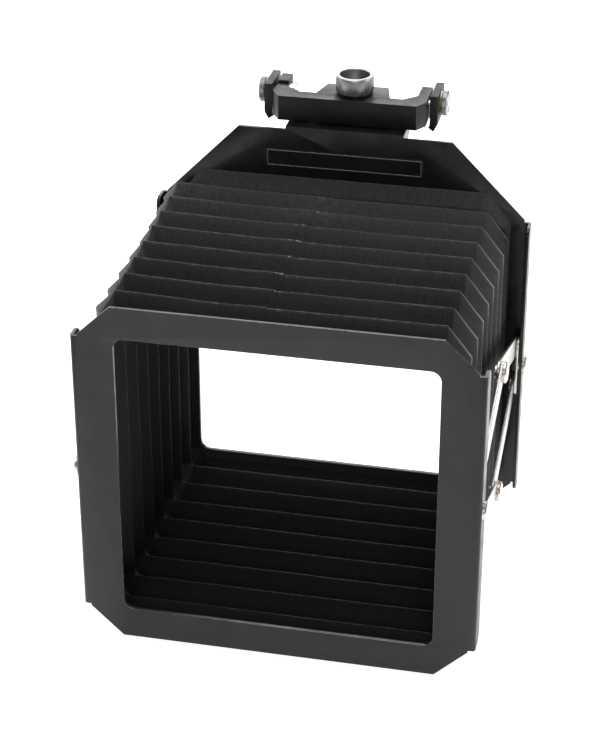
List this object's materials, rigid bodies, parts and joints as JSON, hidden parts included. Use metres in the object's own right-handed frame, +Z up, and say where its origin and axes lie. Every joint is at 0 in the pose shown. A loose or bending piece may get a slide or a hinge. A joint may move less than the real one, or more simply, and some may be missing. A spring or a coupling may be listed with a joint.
{
  "type": "bellows lens hood",
  "caption": "Pleated bellows lens hood between two sheet metal frames, with folding side arms and a clamp bracket with knurled knobs on top.",
  "frame": {"origin": "middle of the hood's footprint, on the surface that its frames stand on", "axes": "+X to the right seen from the front, +Y from the front frame back to the rear frame and the clamp, +Z up"},
  "size_m": [0.1538, 0.1504, 0.1815],
  "materials": {
    "black_paint": "satin black",
    "charcoal_paint": "satin charcoal",
    "bellows_cloth": "matt grained cloth",
    "bracket_paint": "matt, fine texture",
    "jaw_paint": "matt black",
    "knurled_aluminium": "satin, knurled",
    "nickel": "satin nickel plate",
    "bright_steel": "turned",
    "brass": "turned"
  },
  "bodies": {
    "rear_frame": {"rear_frame": "black_paint", "blank_nameplate": "black_paint", "bellows": "bellows_cloth", "bellows_rear_cuff": "bellows_cloth", "rear_pivot_plate_right": "nickel", "rear_pivot_plate_left": "nickel", "rear_pins_right": "nickel", "rear_pins_left": "nickel", "rear_screw_right": "nickel", "rear_screw_left": "nickel", "swivel_washer": "brass", "stud_nut": "bright_steel"},
    "arm_rear_upper_right": {"arm_rear_upper_right": "nickel", "rivet_upper_right": "nickel"},
    "arm_front_upper_right": {"arm_front_upper_right": "nickel"},
    "arm_rear_lower_right": {"arm_rear_lower_right": "nickel", "rivet_lower_right": "nickel"},
    "arm_front_lower_right": {"arm_front_lower_right": "nickel"},
    "arm_rear_upper_left": {"arm_rear_upper_left": "nickel", "rivet_upper_left": "nickel"},
    "arm_front_upper_left": {"arm_front_upper_left": "nickel"},
    "arm_rear_lower_left": {"arm_rear_lower_left": "nickel", "rivet_lower_left": "nickel"},
    "arm_front_lower_left": {"arm_front_lower_left": "nickel"},
    "front_frame": {"front_frame": "charcoal_paint", "bellows_front_cuff": "bellows_cloth", "front_pivot_plate_right": "nickel", "front_pivot_plate_left": "nickel", "front_pins_right": "nickel", "front_pins_left": "nickel", "front_screw_right": "nickel", "front_screw_left": "nickel"},
    "yoke": {"yoke": "bracket_paint", "clamp_block": "bracket_paint", "side_nut_right": "bright_steel", "side_nut_left": "bright_steel"},
    "knob_washer": {"knob_washer": "jaw_paint"},
    "clamp_knob": {"clamp_knob": "knurled_aluminium", "clamp_stud": "bright_steel"},
    "jaw_right": {"jaw_right": "jaw_paint", "guide_pins_right": "bright_steel", "side_washer_right": "brass"},
    "side_knob_right": {"side_knob_right": "knurled_aluminium", "side_screw_right": "bright_steel"},
    "jaw_left": {"jaw_left": "jaw_paint", "guide_pins_left": "bright_steel", "side_washer_left": "brass"},
    "side_knob_left": {"side_knob_left": "knurled_aluminium", "side_screw_left": "bright_steel"}
  },
  "joints": [
    {"name": "rear_upper_right_pivot", "type": "hinge", "parent": "rear_frame", "child": "arm_rear_upper_right", "pos_m": [0.0717, 0.04125, 0.0793], "axis": [-1, 0, 0], "range_deg": [0, 62]},
    {"name": "node_upper_right_pivot", "type": "hinge", "parent": "arm_rear_upper_right", "child": "arm_front_upper_right", "pos_m": [0.073, -0.014, 0.09695], "axis": [-1, 0, 0], "range_deg": [-124, 0]},
    {"name": "rear_lower_right_pivot", "type": "hinge", "parent": "rear_frame", "child": "arm_rear_lower_right", "pos_m": [0.0717, 0.04125, 0.0625], "axis": [-1, 0, 0], "range_deg": [-62, 0]},
    {"name": "node_lower_right_pivot", "type": "hinge", "parent": "arm_rear_lower_right", "child": "arm_front_lower_right", "pos_m": [0.073, -0.014, 0.04485], "axis": [-1, 0, 0], "range_deg": [0, 124]},
    {"name": "rear_upper_left_pivot", "type": "hinge", "parent": "rear_frame", "child": "arm_rear_upper_left", "pos_m": [-0.0717, 0.04125, 0.0793], "axis": [-1, 0, 0], "range_deg": [0, 62]},
    {"name": "node_upper_left_pivot", "type": "hinge", "parent": "arm_rear_upper_left", "child": "arm_front_upper_left", "pos_m": [-0.073, -0.014, 0.09695], "axis": [-1, 0, 0], "range_deg": [-124, 0]},
    {"name": "rear_lower_left_pivot", "type": "hinge", "parent": "rear_frame", "child": "arm_rear_lower_left", "pos_m": [-0.0717, 0.04125, 0.0625], "axis": [-1, 0, 0], "range_deg": [-62, 0]},
    {"name": "node_lower_left_pivot", "type": "hinge", "parent": "arm_rear_lower_left", "child": "arm_front_lower_left", "pos_m": [-0.073, -0.014, 0.04485], "axis": [-1, 0, 0], "range_deg": [0, 124]},
    {"name": "fold", "type": "hinge", "parent": "arm_front_upper_right", "child": "front_frame", "pos_m": [0.073, -0.06925, 0.0793], "axis": [-1, 0, 0], "range_deg": [0, 62], "deforming": ["bellows"]},
    {"name": "bracket_swing", "type": "hinge", "parent": "rear_frame", "child": "yoke", "pos_m": [0.0012, 0.06175, 0.1639], "axis": [0, 0, 1], "range_deg": [-10, 10]},
    {"name": "washer_lift", "type": "slide", "parent": "yoke", "child": "knob_washer", "axis": [0, 0, 1], "range_m": [0, 0.0016]},
    {"name": "clamp_knob_turn", "type": "hinge", "parent": "knob_washer", "child": "clamp_knob", "pos_m": [0.0012, 0.06175, 0.1745], "axis": [0, 0, 1], "range_deg": [0, 720]},
    {"name": "jaw_right_slide", "type": "slide", "parent": "yoke", "child": "jaw_right", "axis": [1, 0, 0], "range_m": [-0.0007, 0.0021]},
    {"name": "side_knob_right_turn", "type": "hinge", "parent": "jaw_right", "child": "side_knob_right", "pos_m": [0.0355, 0.06675, 0.1705], "axis": [1, 0, 0], "range_deg": [-360, 1080]},
    {"name": "jaw_left_slide", "type": "slide", "parent": "yoke", "child": "jaw_left", "axis": [-1, 0, 0], "range_m": [-0.0007, 0.0021]},
    {"name": "side_knob_left_turn", "type": "hinge", "parent": "jaw_left", "child": "side_knob_left", "pos_m": [-0.0355, 0.06675, 0.1705], "axis": [-1, 0, 0], "range_deg": [-360, 1080]}
  ],
  "couplings": [
    {"joint": "rear_upper_right_pivot", "follows": "fold", "ratio": 1},
    {"joint": "node_upper_right_pivot", "follows": "fold", "ratio": -2},
    {"joint": "rear_lower_right_pivot", "follows": "fold", "ratio": -1},
    {"joint": "node_lower_right_pivot", "follows": "fold", "ratio": 2},
    {"joint": "rear_upper_left_pivot", "follows": "fold", "ratio": 1},
    {"joint": "node_upper_left_pivot", "follows": "fold", "ratio": -2},
    {"joint": "rear_lower_left_pivot", "follows": "fold", "ratio": -1},
    {"joint": "node_lower_left_pivot", "follows": "fold", "ratio": 2},
    {"joint": "clamp_knob_turn", "follows": "washer_lift", "rad_per_m": 7854},
    {"joint": "side_knob_right_turn", "follows": "jaw_right_slide", "rad_per_m": 8975.9},
    {"joint": "side_knob_left_turn", "follows": "jaw_left_slide", "rad_per_m": 8975.9}
  ]
}
